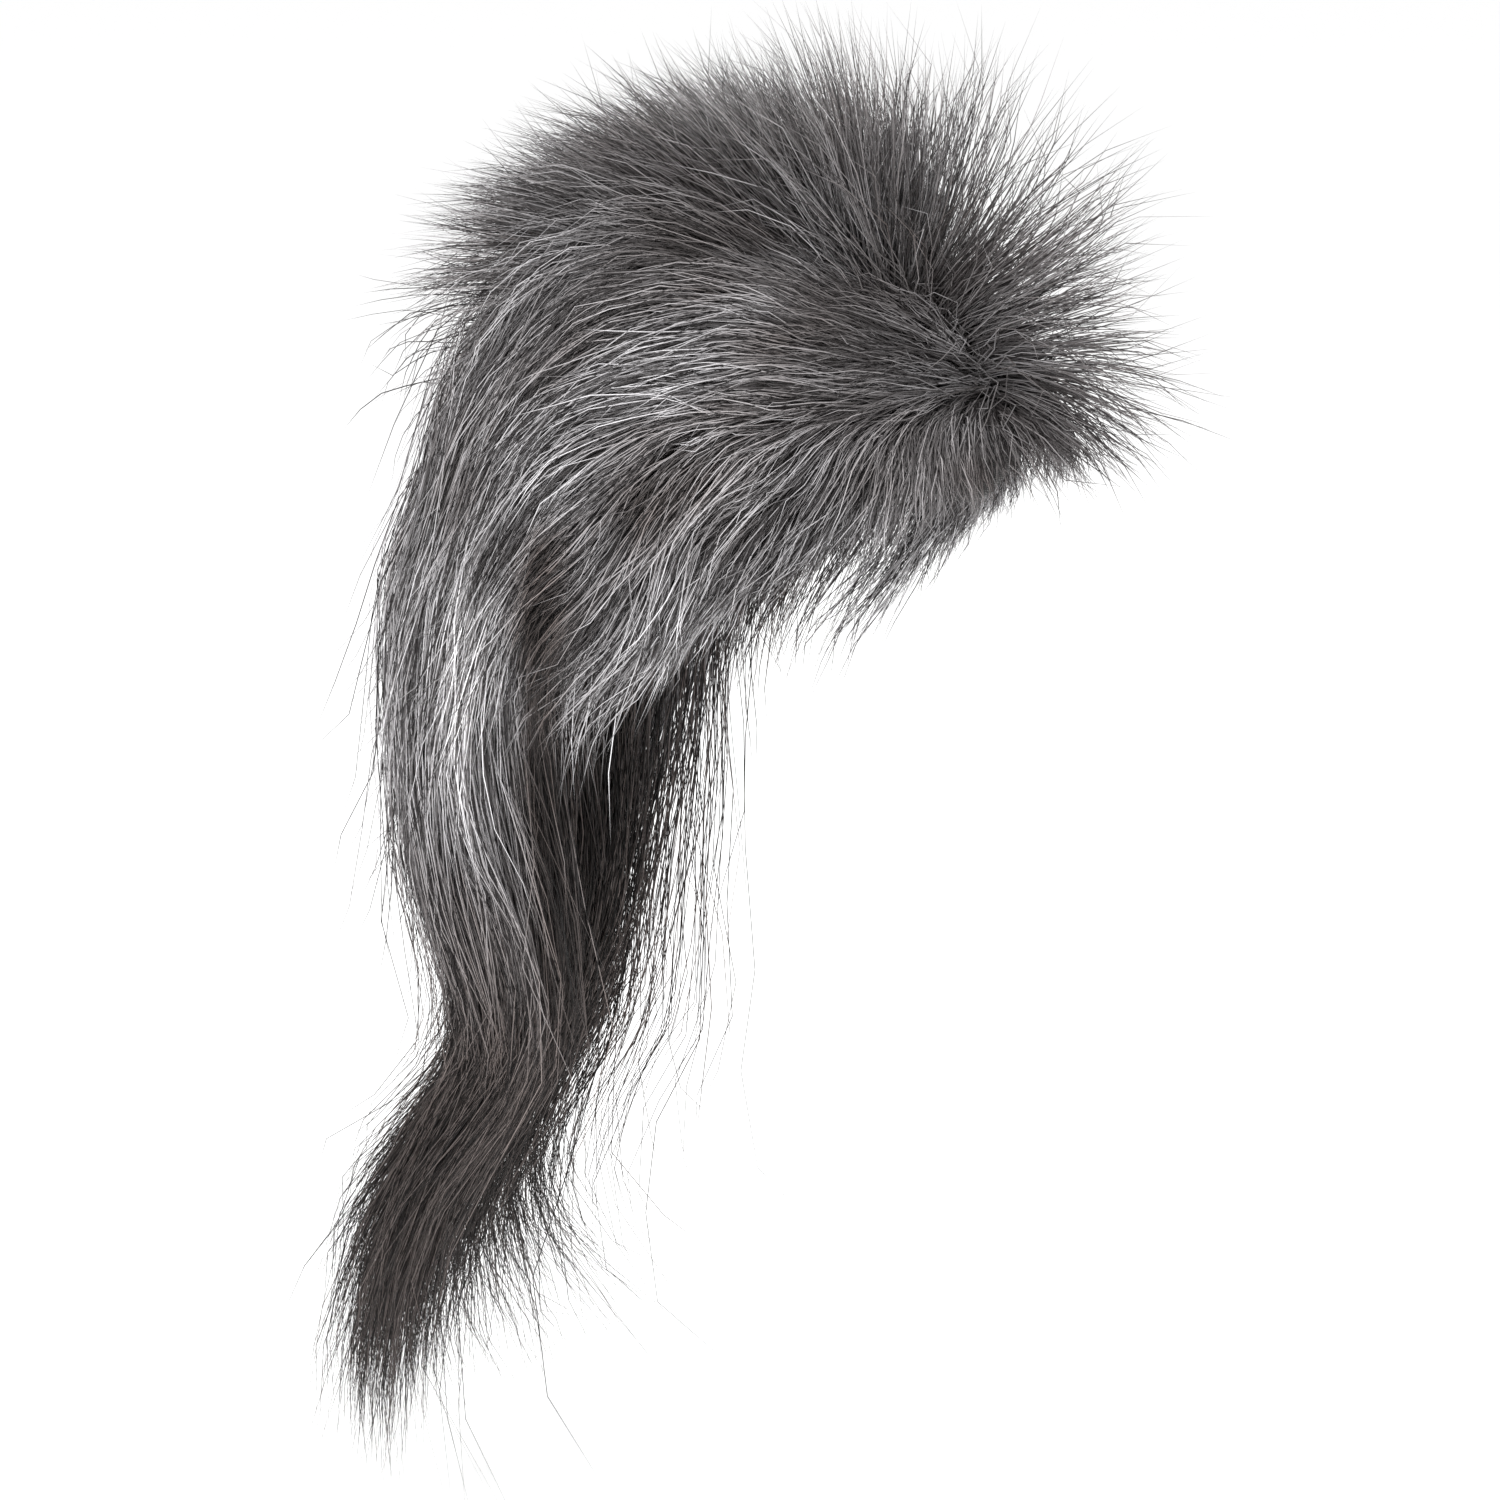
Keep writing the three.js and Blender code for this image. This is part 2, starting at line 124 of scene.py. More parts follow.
def plain_material(name, colour, roughness):
    """A material with one Principled shader, to add other nodes to."""
    material = bpy.data.materials.new(name)
    material.use_nodes = True
    shader = material.node_tree.nodes["Principled BSDF"]
    shader.inputs["Base Color"].default_value = (*colour, 1)
    shader.inputs["Roughness"].default_value = roughness
    return material


floor_half = FLOOR_SIZE / 2
floor_level = cad_low.z - FLOOR_BELOW_TIPS
floor_corners = [
    (-floor_half, -floor_half, floor_level),
    (floor_half, -floor_half, floor_level),
    (floor_half, floor_half, floor_level),
    (-floor_half, floor_half, floor_level),
]
floor = mesh_object("floor", floor_corners, [(0, 1, 2, 3)])
floor.data.materials.append(plain_material("floor_paint", FLOOR_COLOUR, 0.8))
print(f"floor {-floor_level:.2f} m below the crown")

# %% Light
SKY_STRENGTH = 1.05
KEY = {"side": -1.1, "above": 1.3, "towards": 1.4, "size": 1.0, "watts": 34}
RIM = {"side": 0.9, "above": 0.9, "towards": -1.3, "size": 0.8, "watts": 16}

bpy.context.scene.view_settings.view_transform = "Standard"
world = bpy.data.worlds.new("white_sky")
world.use_nodes = True
world.node_tree.nodes["Background"].inputs["Color"].default_value = (1, 1, 1, 1)
world.node_tree.nodes["Background"].inputs["Strength"].default_value = SKY_STRENGTH
bpy.context.scene.world = world


def soft_lamp(name, side, above, towards, size, watts):
    """A square lamp placed from the camera's point of view, aimed at the middle of the wig."""
    data = bpy.data.lights.new(name, "AREA")
    data.size = size
    data.energy = watts
    lamp = bpy.data.objects.new(name, data)
    bpy.context.scene.collection.objects.link(lamp)
    level_back = np.array([back[0], back[1], 0]) / math.hypot(back[0], back[1])
    place = right * side + np.array([0, 0, above]) + level_back * towards
    lamp.location = target + place
    lamp.rotation_euler = Vector(-place).to_track_quat("-Z", "Y").to_euler()
    print(f"{name}: {watts} W")


soft_lamp("key_lamp", **KEY)
soft_lamp("rim_lamp", **RIM)

# %% [markdown]
# ## The head that the wig fits
# Every strand grows out of the cap, and the cap fits a head. The head is half an ellipsoid above its
# widest level and a deeper half below it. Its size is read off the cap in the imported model, so the
# hair follows if that changes. Lengths are in millimetres until the meshes are made.

# %% Head and cap sizes
MM = 0.001
HEM_WALL = 2.8
CROWN = 95
NAPE = 120
CAP_DEPTH = 168
cap_low, cap_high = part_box("wig_cap")
HALF_BREADTH = (cap_high.x - cap_low.x) / 2 / MM - HEM_WALL
HALF_LENGTH = cap_high.y / MM - HEM_WALL
print(f"head {2 * HALF_BREADTH:.0f} mm wide, {2 * HALF_LENGTH:.0f} mm long")

# The cap's edge, at angles round from the face: how far down it lies, as a share of the cap's depth
EDGE_ROUND = [0, 36, 60, 72, 90, 110, 132, 180]
EDGE_DROP = [0.34, 0.38, 0.6, 0.63, 0.56, 0.64, 0.88, 1]


def unit(v):
    """Each vector in an array at a length of one."""
    return v / np.maximum(np.linalg.norm(v, axis=-1, keepdims=True), 1e-9)


def ease(value, start, end):
    """From 0 to 1 as a value goes from start to end, with a soft start and end."""
    t = np.clip((value - start) / (end - start), 0, 1)
    return t * t * (3 - 2 * t)


def mix(a, b, share):
    """A share of the way from a to b."""
    return a + (b - a) * share


def on_head(round_angle, angle, lift):
    """Points over the head and the directions straight out of it there."""
    height = np.where(angle < math.pi / 2, CROWN, NAPE)
    across = HALF_BREADTH * np.sin(angle) * np.sin(round_angle)
    behind = -HALF_LENGTH * np.sin(angle) * np.cos(round_angle)
    p = np.stack([across, behind, height * np.cos(angle)], -1)
    scales = np.stack([np.full_like(height, HALF_BREADTH), np.full_like(height, HALF_LENGTH), height], -1)
    normal = unit(p / scales**2)
    return p + [0, 0, -CROWN] + normal * np.expand_dims(lift, -1), normal


def edge_angle(round_angle):
    """How far down from the crown the cap's edge lies, as an angle."""
    turned = np.degrees(np.abs(np.mod(round_angle + math.pi, 2 * math.pi) - math.pi))
    rise = CROWN - CAP_DEPTH * np.interp(turned, EDGE_ROUND, EDGE_DROP)
    return np.arccos(rise / np.where(rise > 0, CROWN, NAPE))


# %% [markdown]
# ## How the hair lies
# Hair that is combed lies on the head as water runs over a stone. Three fields say how: the height
# of a point over the surface that the hair lies on, the depth of the hair there, and the way that it
# is combed. Over the head the surface is the skin. Below the head's widest level it is the inside of
# the tail, which draws in towards the neck and then flicks out at its end. The columns below say how,
# from the widest level down to the tips.

# %% Height and depth of the hair
TAIL_DROP = 420
TAIL_DEPTH = 61
SIDE_DEPTH = 15
BACK_DEPTH = 25

# Down from the widest level to the tips: how far out the inside lies, as a share of the head's outline,
# how deep the hair is, as a share of the tail's depth, and how many degrees it reaches from the middle
HANG = {
    "down": [0, 0.1, 0.21, 0.32, 0.42, 0.53, 0.58, 0.66, 0.74, 0.8, 0.9, 1],
    "inner": [1, 0.965, 0.81, 0.7, 0.66, 0.68, 0.72, 0.85, 1.03, 1.14, 1.24, 1.3],
    "depth": [0.41, 0.7, 0.89, 1, 0.97, 0.76, 0.61, 0.54, 0.6, 0.65, 0.72, 0.7],
    "spread": [84, 78, 70, 63, 58, 48, 40, 29, 23, 21, 22, 27],
}


def hang(p, column):
    """A column of the hanging hair's table at each point."""
    share = (-CROWN - p[..., 2]) / (TAIL_DROP - CROWN)
    return np.interp(share, HANG["down"], HANG[column])


def from_behind(p):
    """The angle round from straight behind the head, positive towards the wearer's left."""
    return np.arctan2(p[..., 0], p[..., 1])


def from_face(p):
    """The angle round from the middle of the face, the same on both sides."""
    return math.pi - np.abs(from_behind(p))


def past_ear(p):
    """From 0 in front of the ear to 1 well behind it."""
    return ease(from_face(p), math.radians(92), math.radians(118))


def over_head(p):
    """How high each point is over the surface that the hair lies on, and the way straight out of it."""
    inner = np.where(p[..., 2] < -CROWN, mix(1, hang(p, "inner"), past_ear(p)), 1)
    rise = np.maximum(0, p[..., 2] + CROWN) / CROWN
    wide = HALF_BREADTH * inner
    long = HALF_LENGTH * inner
    level = np.sqrt((p[..., 0] / wide) ** 2 + (p[..., 1] / long) ** 2 + rise**2)
    gradient = np.stack([p[..., 0] / wide**2, p[..., 1] / long**2, rise / CROWN], -1) / level[..., None]
    slope = np.linalg.norm(gradient, axis=-1)
    return (level - 1) / slope, gradient / slope[..., None]


def hair_depth(p):
    """How thick the hair lies at each point."""
    rear = ease(from_face(p), math.radians(85), math.radians(140))
    lying = mix(SIDE_DEPTH, BACK_DEPTH, rear)
    off_middle = np.minimum(1, np.abs(from_behind(p)) / np.radians(hang(p, "spread")))
    hanging = TAIL_DEPTH * hang(p, "depth") * np.sqrt(1 - 0.75 * off_middle**2)
    return np.where(p[..., 2] > -CROWN, lying, mix(SIDE_DEPTH, hanging, past_ear(p)))


# %% [markdown]
# The combing starts at a whorl over the forehead. From there the hair goes back over the head, falls
# more and more steeply towards the sides and the nape, and drops straight over the brow. Below the
# head it turns round with the tail as that narrows, and drifts a little to the wearer's right, so that
# the tail doesn't hang dead straight. Only the part of each way that runs along the surface is kept.

# %% Way of the hair
WHORL = np.array([0, -0.93 * HALF_LENGTH, -0.55 * CROWN])
BACK_OVER_HEAD = np.array([0, 0.9, -0.43])
DOWN = np.array([0, 0, -1.0])
TAIL_DRIFT = math.radians(-11)
TAIL_DRIFT_OVER = 170
SLOPE_STEP = 3.0


def combed(p, out):
    """The way the hair is combed: out from the whorl, back over the head, and down."""
    from_whorl = p - WHORL
    far = np.linalg.norm(from_whorl, axis=-1)[..., None]
    near = 1 - ease(far / HALF_BREADTH, 0.7, 1.7)
    behind = ease(from_face(p), math.radians(70), math.radians(160))
    aside = ease(np.abs(p[..., 0]), 20, 60)
    brow = mix(0.9, 0.5, aside) * (1 - behind) * ease(-p[..., 2] - 6 * aside, 40, 58)
    low = ease(-p[..., 2] / CAP_DEPTH, 0.25, 1.3)
    weight = np.maximum(behind, np.maximum(low, brow))[..., None]
    narrowing = hang(p + DOWN * SLOPE_STEP, "spread") / hang(p, "spread") - 1
    drifting = (p[..., 2] < -CROWN) & (p[..., 2] > -CROWN - TAIL_DRIFT_OVER)
    turn = np.where(p[..., 2] < -CROWN, behind * from_behind(p) * narrowing / SLOPE_STEP, 0)
    turn = turn + behind * np.where(drifting, TAIL_DRIFT / TAIL_DRIFT_OVER, 0)
    fall = DOWN + turn[..., None] * np.stack([p[..., 1], -p[..., 0], 0 * turn], -1)
    way = mix(mix(BACK_OVER_HEAD, from_whorl / far, near), fall, weight)
    return unit(way - out * np.sum(way * out, -1, keepdims=True))


print(f"the tail hangs {TAIL_DROP} mm below the crown, up to {TAIL_DEPTH} mm deep")


# %% [markdown]
# ## Roots
# A wig maker ties or sews the fibre to the cap evenly all over. Random angles would crowd the roots
# at the crown, so points are drawn over the ellipsoid and kept in proportion to its true area. Each
# root then belongs to one part of the hair by where it lies. The dice are seeded, so every run gives
# the same wig.

# %% Roots
SEED = 11
PLACES = 130000
LARGEST_AREA = 1.6
LOWEST = -0.65
ROOT_LIFT = 1.8
CREST_HALF_WIDTH = 36
CREST_BACK = 58
FRINGE_HALF_WIDTH = 46
FRINGE_DROP = 46
SIDE_BACK = 34
TAIL_ROOT_DROP = 112
EDGE_INSET = math.radians(1.5)


def scatter_roots(count, rng):
    """Angles round and down of roots spread evenly over the cap."""
    kept = []
    while sum(len(k) for k in kept) < count:
        round_angle = rng.uniform(-math.pi, math.pi, count)
        angle = np.arccos(rng.uniform(LOWEST, 1, count))
        height = np.where(angle < math.pi / 2, CROWN, NAPE)
        slopes = np.stack([
            np.sin(angle) * np.sin(round_angle) / HALF_BREADTH,
            np.sin(angle) * np.cos(round_angle) / HALF_LENGTH,
            np.cos(angle) / height,
        ], -1)
        area = height * np.linalg.norm(slopes, axis=-1)
        inside = angle < edge_angle(round_angle) - EDGE_INSET
        keep = inside & (rng.random(count) < area / LARGEST_AREA)
        kept.append(np.stack([round_angle[keep], angle[keep]], -1))
    return np.concatenate(kept)[:count]


def part_of(p):
    """The part of the hair that each root belongs to."""
    crest = (np.abs(p[:, 0]) < CREST_HALF_WIDTH) & (p[:, 1] < CREST_BACK) & (p[:, 2] > -FRINGE_DROP)
    fringe = (np.abs(p[:, 0]) < FRINGE_HALF_WIDTH) & (p[:, 2] <= -FRINGE_DROP) & (p[:, 1] < 0)
    tail = (p[:, 2] < -TAIL_ROOT_DROP) & (p[:, 1] > 0)
    side = p[:, 1] < SIDE_BACK
    choices = ["crest", "fringe", "tail", "side_right", "side_left"]
    tests = [crest, fringe, tail, side & (p[:, 0] < 0), side & (p[:, 0] >= 0)]
    return np.select(tests, choices, "back")


dice = np.random.default_rng(SEED)
angles = scatter_roots(PLACES, dice)
roots = on_head(angles[:, 0], angles[:, 1], np.full(len(angles), ROOT_LIFT))[0]
parts = part_of(roots)
for part_name in np.unique(parts):
    print(f"{part_name}: {np.sum(parts == part_name)} places for roots")

# %% [markdown]
# ## How a strand grows
# A strand starts out of its root and then follows the fields. Along the crest it stands and only
# sags; elsewhere it lies, looks a little way ahead and rises or sinks towards its own layer of the
# hair. All strands take each step together as one array, which is thousands of times quicker than
# growing them one by one.

# %% Growing
LOOK_AHEAD = 25
STEEPEST = 0.7
CREST_FAN = 70
CREST_SCATTER = 0.13
BROAD_SWIRL = 0.16
NARROW_SWIRL = 0.1

# Along the crest, from front to back: where a root lies, as a share of half the head's length, how many
# degrees its hair leans back from straight ahead, and how long the hair is
CREST_ROOTS = [-0.97, -0.93, -0.87, -0.79, -0.66, -0.6, -0.43, -0.27, -0.07, 0.14, 0.35, 0.54, 0.75, 0.95]
CREST_POINTS = [-34, -18, 2, 20, 42, 70, 86, 107, 121, 134, 147, 158, 172, 190]
CREST_LENGTHS = [40, 57, 76, 79, 80, 79, 74, 70, 68, 68, 69, 68, 66, 64]


def waves(p, size, seed):
    """A smooth random value at each point, which changes over about the given size."""
    rng = np.random.default_rng(seed)
    way = unit(rng.normal(size=(6, 3))) * 2 * math.pi / size
    return np.sin(p @ way.T + rng.uniform(0, 2 * math.pi, 6)).sum(-1) / 2.4


def standing_way(root):
    """The way that hair stands out of the crest: forward at the front, up, and back behind the crown."""
    points = np.radians(np.interp(root[:, 1] / HALF_LENGTH, CREST_ROOTS, CREST_POINTS))
    return unit(np.stack([root[:, 0] / CREST_FAN, -np.cos(points), np.sin(points)], -1))


def lying_way(p, layer, swirl):
    """The way that lying hair goes on from each point."""
    _, out = over_head(p)
    way = combed(p, out)
    way = way * np.cos(swirl)[:, None] + np.cross(out, way) * np.sin(swirl)[:, None]
    ahead = p + way * LOOK_AHEAD
    slope = (layer * hair_depth(ahead) - over_head(ahead)[0]) / LOOK_AHEAD
    rise = np.clip(slope, -STEEPEST, STEEPEST)[:, None]
    return way * np.sqrt(1 - rise**2) + out * rise


def grow(root, strand, steps, rng):
    """The middle lines of strands: an array of strands, steps + 1 points and x, y, z."""
    count = len(root)
    stand = strand["stand"][:, None]
    upright = unit(standing_way(root) + rng.normal(0, CREST_SCATTER, (count, 3)))
    bend = rng.normal(0, 1, (count, 3)) * strand["bend"][:, None]
    lines = np.empty((count, steps + 1, 3))
    lines[:, 0] = root
    for i in range(steps):
        along = i / steps
        p = lines[:, i]
        layer = mix(strand["layer"], strand["tip_layer"], along**2) + strand["flick"] * along**7
        swirl = strand["swirl"] + BROAD_SWIRL * waves(p, 60, 5) + NARROW_SWIRL * waves(p, 23, 6)
        lying = lying_way(p, layer, swirl)
        rooted = (strand["rooted"] * max(0, 1 - along / 0.4))[:, None]
        lying = mix(lying, over_head(p)[1], rooted)
        rising = upright + DOWN * (strand["sag"] * along)[:, None]
        share = stand * (1 - 0.25 * along)
        way = unit(mix(lying, rising, share) + bend * along**1.5)
        lines[:, i + 1] = p + way * (strand["length"] / steps)[:, None]
    return lines


# %% [markdown]
# ## Trimming
# A hairdresser cuts the hair above the brow, the temple and the ear with scissors. Here each strand
# ends where it first passes that line, and its points are laid out afresh along what is left of it.
# The line wavers a little from strand to strand, so that it doesn't look ruled.

# %% Trimming
SHORTEST = 12
UNEVEN_CUT = 4

# The line of the cut, at degrees round from the face: its height over the crown, in millimetres
CUT_ROUND = [0, 20, 36, 60, 75, 90, 96, 100]
CUT_AT = [-74, -82, -93, -103, -124, -148, -164, -1000]


def at_distance(lines, lengths, distances):
    """Points on the given lines at the given distances along them."""
    steps = lines.shape[1] - 1
    place = np.clip(distances / lengths[:, None] * steps, 0, steps - 1e-6)
    index = place.astype(int)
    strand = np.arange(len(lines))[:, None]
    return mix(lines[strand, index], lines[strand, index + 1], (place - index)[..., None])


def trim(lines, strand, rng):
    """Cuts strands off at the hairline: above the brow, the temple and the ear."""
    steps = lines.shape[1] - 1
    turned = np.degrees(from_face(lines))
    uneven = rng.normal(0, UNEVEN_CUT, (len(lines), 1))
    below = lines[..., 2] < np.interp(turned, CUT_ROUND, CUT_AT) + uneven
    share = np.where(below.any(1), np.argmax(below, 1), steps) / steps
    length = np.maximum(strand["length"] * share, np.minimum(strand["length"], SHORTEST))
    cut = at_distance(lines, strand["length"], np.linspace(0, 1, steps + 1) * length[:, None])
    strand["length"] = length
    return cut


print(f"the fringe is cut {-CUT_AT[0]} mm below the crown, the side {-CUT_AT[5]} mm")

# %% [markdown]
# ## Locks and loose hairs
# Real fibre clings together in locks that are fluffy at the root and pointed at the tip. Every few
# strands are drawn towards one of their neighbours, more and more along their length. Hairs that flick
# out of the locks stay free. A little frizz is added afterwards, so that no strand is a perfect curve,
# and points that sank into the cap are lifted out of it.

# %% Gathering into locks
BATCH = 512


def gather(lines, strand, every, strength, power, rng):
    """Draws strands towards guides, which are one in every few of them."""
    count = len(lines)
    guides = rng.permutation(count)[: max(1, count // every)]
    nearest = np.empty(count, int)
    for start in range(0, count, BATCH):
        gap = lines[start : start + BATCH, None, 0] - lines[None, guides, 0]
        nearest[start : start + BATCH] = guides[np.argmin((gap**2).sum(-1), 1)]
    steps = lines.shape[1] - 1
    along = np.linspace(0, 1, steps + 1)
    distances = along * strand["length"][:, None]
    aim = at_distance(lines[nearest], strand["length"][nearest], distances)
    reach = np.clip(strand["length"][nearest] / strand["length"], 0, 1)[:, None]
    pull = strength * rng.uniform(0.5, 1, (count, 1)) * along**power * (strand["flick"] == 0)[:, None]
    pull = np.where(along <= reach, pull, pull * np.clip(1 - (along - reach) * 6, 0, 1))
    return mix(lines, aim, pull[..., None])


# %% Frizz and stray tips
STRAY = 11
SPARE = 3
ROOM = [(low / MM - SPARE, high / MM + SPARE) for low, high in zip(cad_low, cad_high)]


def frizz(lines, amount, rng):
    """Adds a small random wave to each strand, wider towards its tip."""
    count, points = lines.shape[:2]
    along = np.linspace(0, 1, points)[None, :, None]
    turns = rng.uniform(0.7, 2.2, (count, 1, 3))
    phase = rng.uniform(0, 2 * math.pi, (count, 1, 3))
    wave = np.sin(along * turns * 2 * math.pi + phase) - np.sin(phase)
    return lines + wave * amount * along


def rein_in(lines):
    """Bends back the tips of strands that would stray too far from the rest of the hair."""
    for axis, (low, high) in enumerate(ROOM):
        over = lines[..., axis] - high
        under = low - lines[..., axis]
        lines[..., axis] -= np.where(over > 0, over - STRAY * np.tanh(over / STRAY), 0)
        lines[..., axis] += np.where(under > 0, under - STRAY * np.tanh(under / STRAY), 0)
    return lines


def lift_out(lines, least):
    """Lifts points that lie too deep back out of the cap."""
    height, out = over_head(lines)
    short = np.maximum(0, least - height)
    short[:, 0] = 0
    return lines + out * short[..., None]


print("room for the tips, mm:", [f"{low:.0f} to {high:.0f}" for low, high in ROOM])

# %% [markdown]
# ## From a line to a tube
# A strand needs the fewest faces that still look round, because there are so many: three sides, a
# closed root and one point at the tip. A bevelled curve would give the same tube, but a hundred
# thousand curve points take Blender far longer than arrays of numbers, which are handed over whole.

# %% Faces of a tube
SIDES = 3


def tube_faces(count, rings):
    """The corners of every face of a number of tubes, as quads and triangles."""
    per_strand = rings * SIDES + 1
    ring, side = np.meshgrid(np.arange(rings - 1), np.arange(SIDES), indexing="ij")
    ring, side = ring.ravel(), side.ravel()
    following = (side + 1) % SIDES
    quads = np.stack([
        ring * SIDES + side,
        ring * SIDES + following,
        (ring + 1) * SIDES + following,
        (ring + 1) * SIDES + side,
    ], -1)
    sides = np.arange(SIDES)
    last = (rings - 1) * SIDES
    tips = np.stack([last + sides, last + (sides + 1) % SIDES, np.full(SIDES, rings * SIDES)], -1)
    root = np.array([[2, 1, 0]])
    triangles = np.concatenate([tips, root])
    start = (np.arange(count) * per_strand)[:, None, None]
    return (quads + start).reshape(-1, 4), (triangles + start).reshape(-1, 3)


def cross_axes(lines):
    """Two directions square to the line at each of its points, which don't twist along it."""
    tangent = unit(np.gradient(lines, axis=1))
    spread = np.abs(unit(tangent.mean(1)))
    steady = np.eye(3)[np.argmin(spread, -1)][:, None]
    first = unit(np.cross(tangent, steady))
    return first, np.cross(tangent, first)


# %% [markdown]
# Each strand has a small cell of its own in the UV map, so that its colour can be baked. The cells
# stand in rows and columns, with a narrow gap round each one.

# %% A cell for each strand in the UV map
CELL_LEFT, CELL_WIDTH = 0.1, 0.8
CELL_FOOT, CELL_HEIGHT = 0.08, 0.76
CELL_TIP = [0.5, 0.95]


def cell_map(count, rings):
    """Where each vertex lies in the UV map, with each strand in a cell of its own."""
    across = math.ceil(math.sqrt(count))
    strand = np.arange(count)
    corner = np.stack([strand % across, strand // across], -1)[:, None, None]
    ring, side = np.meshgrid(np.arange(rings), np.arange(SIDES + 1), indexing="ij")
    across_cell = CELL_LEFT + CELL_WIDTH * side / SIDES
    up_cell = CELL_FOOT + CELL_HEIGHT * ring / (rings - 1)
    inside = np.stack([across_cell, up_cell], -1)
    return (corner + inside) / across, (corner[:, 0, 0] + CELL_TIP) / across


def strand_uvs(count, rings):
    """The UV of every face corner, in the order that the faces are made in."""
    grid, tip = cell_map(count, rings)
    sides = np.arange(SIDES)
    here, later = grid[:, :-1], grid[:, 1:]
    quads = np.stack([
        here[:, :, sides],
        here[:, :, sides + 1],
        later[:, :, sides + 1],
        later[:, :, sides],
    ], 3)
    last = grid[:, -1]
    tips = np.stack([last[:, sides], last[:, sides + 1], np.repeat(tip[:, None], SIDES, 1)], 2)
    roots = np.stack([grid[:, 0, 2], grid[:, 0, 1], grid[:, 0, 0]], 1)[:, None]
    triangles = np.concatenate([tips, roots], 1)
    return quads.reshape(-1, 2), triangles.reshape(-1, 2)


# %% [markdown]
# One mesh holds all the strands of a piece. Each vertex also carries its strand's tone and its own
# shade as attributes, which the material reads, so that one material serves every strand.

# %% One mesh from many strands
TIP_TAPER = 0.6
TAPER_POWER = 2.5


def strand_mesh(name, lines, radius, tone, shade):
    """One mesh with a tapered tube along every line."""
    count, rings = lines.shape[0], lines.shape[1] - 1
    along = np.linspace(0, 1, rings + 1)
    first, second = cross_axes(lines)
    turn = 2 * math.pi * np.arange(SIDES) / SIDES
    size = radius[:, None] * (1 - TIP_TAPER * along[None, :-1] ** TAPER_POWER)
    ring = first[:, :-1, None] * np.cos(turn)[:, None] + second[:, :-1, None] * np.sin(turn)[:, None]
    ring = lines[:, :-1, None] + ring * size[..., None, None]
    points = np.concatenate([ring.reshape(count, -1, 3), lines[:, -1:]], 1).reshape(-1, 3) * MM
    quads, triangles = tube_faces(count, rings)
    corners = np.concatenate([quads.ravel(), triangles.ravel()]).astype(np.int32)
    totals = np.concatenate([np.full(len(quads), 4), np.full(len(triangles), 3)])
    starts = np.concatenate([[0], np.cumsum(totals)[:-1]]).astype(np.int32)
    mesh = bpy.data.meshes.new(name)
    mesh.vertices.add(len(points))
    mesh.vertices.foreach_set("co", points.astype(np.float32).ravel())
    mesh.loops.add(len(corners))
    mesh.loops.foreach_set("vertex_index", corners)
    mesh.polygons.add(len(totals))
    mesh.polygons.foreach_set("loop_start", starts)
    mesh.polygons.foreach_set("use_smooth", np.ones(len(totals), bool))
    mesh.update(calc_edges=True)
    shades = np.concatenate([np.repeat(shade[:, :-1], SIDES, axis=1), shade[:, -1:]], 1).ravel()
    for label, values in (("tone", np.repeat(tone, rings * SIDES + 1)), ("shade", shades)):
        mesh.attributes.new(label, "FLOAT", "POINT").data.foreach_set("value", values.astype(np.float32))
    uv = np.concatenate(strand_uvs(count, rings))
    mesh.uv_layers.new(name="OFBake").data.foreach_set("uv", uv.astype(np.float32).ravel())
    mesh.validate()
    made = bpy.data.objects.new(name, mesh)
    bpy.context.scene.collection.objects.link(made)
    print(f"{name}: {count} strands, {2 * len(quads) + len(triangles)} triangles")
    return made


# %% [markdown]
# ## The fibre's finish
# Salt-and-pepper hair is a mix of charcoal, mid grey and nearly white strands, and the eye blends
# them. A ramp turns each strand's tone into its colour. A second ramp turns its shade, which is low
# where little light reaches, into a tint that grows warmer as it grows darker, and a fine noise along
# the strand breaks both up. The fibre is smooth plastic, so it has a soft sheen of its own. The two
# helpers come first, because the cap's finishes need them too.

# %% Two helpers for materials
def ramp_node(material, value, stops):
    """A ramp that turns a value into a colour. Each stop is a place and a colour."""
    ramp = material.node_tree.nodes.new("ShaderNodeValToRGB")
    elements = ramp.color_ramp.elements
    for element, (place, colour) in zip(elements, (stops[0], stops[-1])):
        element.position = place
        element.color = (*colour, 1)
    for place, colour in stops[1:-1]:
        elements.new(place).color = (*colour, 1)
    material.node_tree.links.new(value, ramp.inputs["Fac"])
    return ramp.outputs["Color"]


def math_node(material, operation, first, second):
    """The outcome of a sum on two values, each of them a socket or a plain number."""
    node = material.node_tree.nodes.new("ShaderNodeMath")
    node.operation = operation
    for socket, value in zip(node.inputs, (first, second)):
        if isinstance(value, float):
            socket.default_value = value
        else:
            material.node_tree.links.new(value, socket)
    return node.outputs["Value"]


# %% Hair material
FIBRE_GREYS = [
    (0.0, (0.022, 0.0195, 0.0195)),
    (0.35, (0.075, 0.07, 0.07)),
    (0.6, (0.25, 0.243, 0.246)),
    (0.8, (0.52, 0.51, 0.517)),
    (1.0, (0.72, 0.71, 0.72)),
]
SHADE_TINTS = [
    (0.0, (0, 0, 0)),
    (0.15, (0.175, 0.148, 0.137)),
    (0.5, (0.5, 0.495, 0.5)),
    (1.0, (1, 1, 1)),
]


